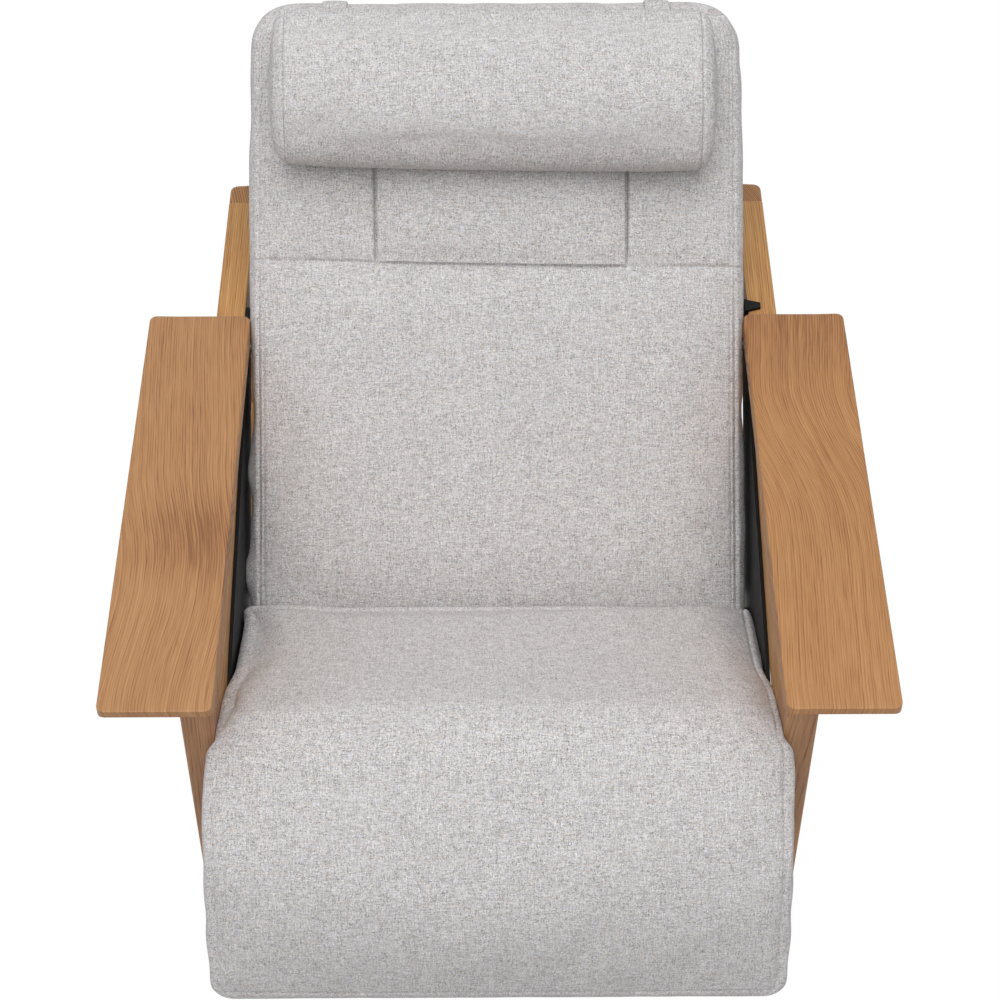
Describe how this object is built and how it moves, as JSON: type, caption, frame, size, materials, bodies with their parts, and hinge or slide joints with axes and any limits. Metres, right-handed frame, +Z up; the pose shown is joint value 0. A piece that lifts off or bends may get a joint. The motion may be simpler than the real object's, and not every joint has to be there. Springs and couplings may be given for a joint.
{
  "type": "massage chair",
  "caption": "Reclining massage lounge chair with flat wooden armrests, wooden side frames, fabric seat, back, head pillow and a tilting leg rest.",
  "frame": {"origin": "on the floor, under the centre of the chair's overall width and depth in the reclined rest pose", "axes": "+X towards the right as seen by someone facing the chair, +Y towards the back of the chair, +Z up; the sitter faces -Y"},
  "size_m": [0.73, 0.9492, 0.7988],
  "materials": {
    "oak": "satin oiled oak, straight to wavy grain",
    "upholstery": "light grey melange woven upholstery fabric",
    "plywood": "plain birch plywood",
    "black_steel": "black powder coat",
    "bare_steel": "zinc plated steel",
    "black_plastic": "fine textured moulding",
    "head_rubber": "soft moulded rubber",
    "strap_webbing": "flat strap in the cover fabric",
    "felt": "dense black felt",
    "nylon": "natural nylon"
  },
  "bodies": {
    "frame": {"armrest_left": "oak", "armrest_right": "oak", "front_leg_left": "oak", "front_leg_right": "oak", "rear_leg_left": "oak", "rear_leg_right": "oak", "top_rail_left": "oak", "top_rail_right": "oak", "lower_rail_left": "oak", "lower_rail_right": "oak", "front_cross_rail": "oak", "rear_cross_rail": "oak", "wood_dowels": "plywood", "foot_glides": "felt", "side_plate_left": "black_steel", "side_plate_right": "black_steel", "cross_tubes": "black_steel", "plate_bolts": "bare_steel", "pivot_pins": "bare_steel", "seat_board": "plywood", "seat_cushion": "upholstery", "control_box": "black_plastic", "power_inlet": "black_plastic", "leg_rest_motor": "black_plastic", "recline_actuator": "black_steel"},
    "backrest": {"recline_lever": "black_steel", "back_rail_left": "black_steel", "back_rail_right": "black_steel", "back_cross_bars": "black_steel", "back_panel": "black_plastic", "back_side_cover_left": "upholstery", "back_side_cover_right": "upholstery", "back_top_cover": "upholstery", "back_cushion": "upholstery", "shoulder_flap": "upholstery", "pillow_straps": "strap_webbing", "guide_rail_left": "bare_steel", "guide_rail_right": "bare_steel", "screw_bearings": "black_steel", "screw_motor": "black_plastic"},
    "pillow": {"head_pillow": "upholstery"},
    "screw": {"lead_screw": "bare_steel"},
    "carriage": {"carriage_plate": "bare_steel", "carriage_shoes": "nylon", "screw_nut": "black_plastic", "gear_case": "black_plastic", "knead_motor": "bare_steel", "tap_motor": "bare_steel"},
    "kneader": {"knead_shaft": "bare_steel"},
    "arm_left": {"massage_arm_left": "black_steel"},
    "arm_right": {"massage_arm_right": "black_steel"},
    "wheel_upper_left": {"upper_head_left": "head_rubber"},
    "wheel_upper_right": {"upper_head_right": "head_rubber"},
    "wheel_lower_left": {"lower_head_left": "head_rubber"},
    "wheel_lower_right": {"lower_head_right": "head_rubber"},
    "recline_ram": {"recline_rod": "bare_steel"},
    "leg_rest": {"leg_rest_arms": "black_steel", "leg_rest_board": "plywood", "leg_rest_cushion": "upholstery"}
  },
  "joints": [
    {"name": "recline", "type": "hinge", "parent": "frame", "child": "backrest", "pos_m": [0, -0.04351, 0.285], "axis": [-1, 0, 0], "range_deg": [-14, 14]},
    {"name": "ram_stroke", "type": "slide", "parent": "frame", "child": "recline_ram", "axis": [0, -1, 0], "range_m": [-0.018, 0.018]},
    {"name": "leg_rest_tilt", "type": "hinge", "parent": "frame", "child": "leg_rest", "pos_m": [0, -0.37851, 0.345], "axis": [-1, 0, 0], "range_deg": [-15, 60]},
    {"name": "pillow_height", "type": "slide", "parent": "backrest", "child": "pillow", "axis": [0, -0.7193, -0.6947], "range_m": [0, 0.06]},
    {"name": "carriage_travel", "type": "slide", "parent": "backrest", "child": "carriage", "axis": [0, 0.7193, 0.6947], "range_m": [-0.12, 0.12]},
    {"name": "screw_turn", "type": "hinge", "parent": "backrest", "child": "screw", "pos_m": [0, 0.20654, 0.45793], "axis": [0, 0.7193, 0.6947], "range_deg": [-2170, 2170]},
    {"name": "kneading_turn", "type": "hinge", "parent": "carriage", "child": "kneader", "pos_m": [0, 0.21046, 0.47979], "axis": [1, 0, 0], "continuous": true},
    {"name": "left_arm_rock", "type": "hinge", "parent": "carriage", "child": "arm_left", "pos_m": [-0.095, 0.21046, 0.47979], "axis": [1, 0, 0], "range_deg": [-8, 8]},
    {"name": "right_arm_rock", "type": "hinge", "parent": "carriage", "child": "arm_right", "pos_m": [0.095, 0.21046, 0.47979], "axis": [1, 0, 0], "range_deg": [-8, 8]},
    {"name": "upper_left_wheel_turn", "type": "hinge", "parent": "arm_left", "child": "wheel_upper_left", "pos_m": [-0.08, 0.23873, 0.52697], "axis": [1, 0, 0], "continuous": true},
    {"name": "upper_right_wheel_turn", "type": "hinge", "parent": "arm_right", "child": "wheel_upper_right", "pos_m": [0.08, 0.23873, 0.52697], "axis": [1, 0, 0], "continuous": true},
    {"name": "lower_left_wheel_turn", "type": "hinge", "parent": "arm_left", "child": "wheel_lower_left", "pos_m": [-0.08, 0.16232, 0.45318], "axis": [1, 0, 0], "continuous": true},
    {"name": "lower_right_wheel_turn", "type": "hinge", "parent": "arm_right", "child": "wheel_lower_right", "pos_m": [0.08, 0.16232, 0.45318], "axis": [1, 0, 0], "continuous": true}
  ],
  "couplings": [
    {"joint": "ram_stroke", "follows": "recline", "m_per_rad": 0.07},
    {"joint": "screw_turn", "follows": "carriage_travel", "rad_per_m": 314.16},
    {"joint": "right_arm_rock", "follows": "left_arm_rock", "ratio": -1}
  ]
}
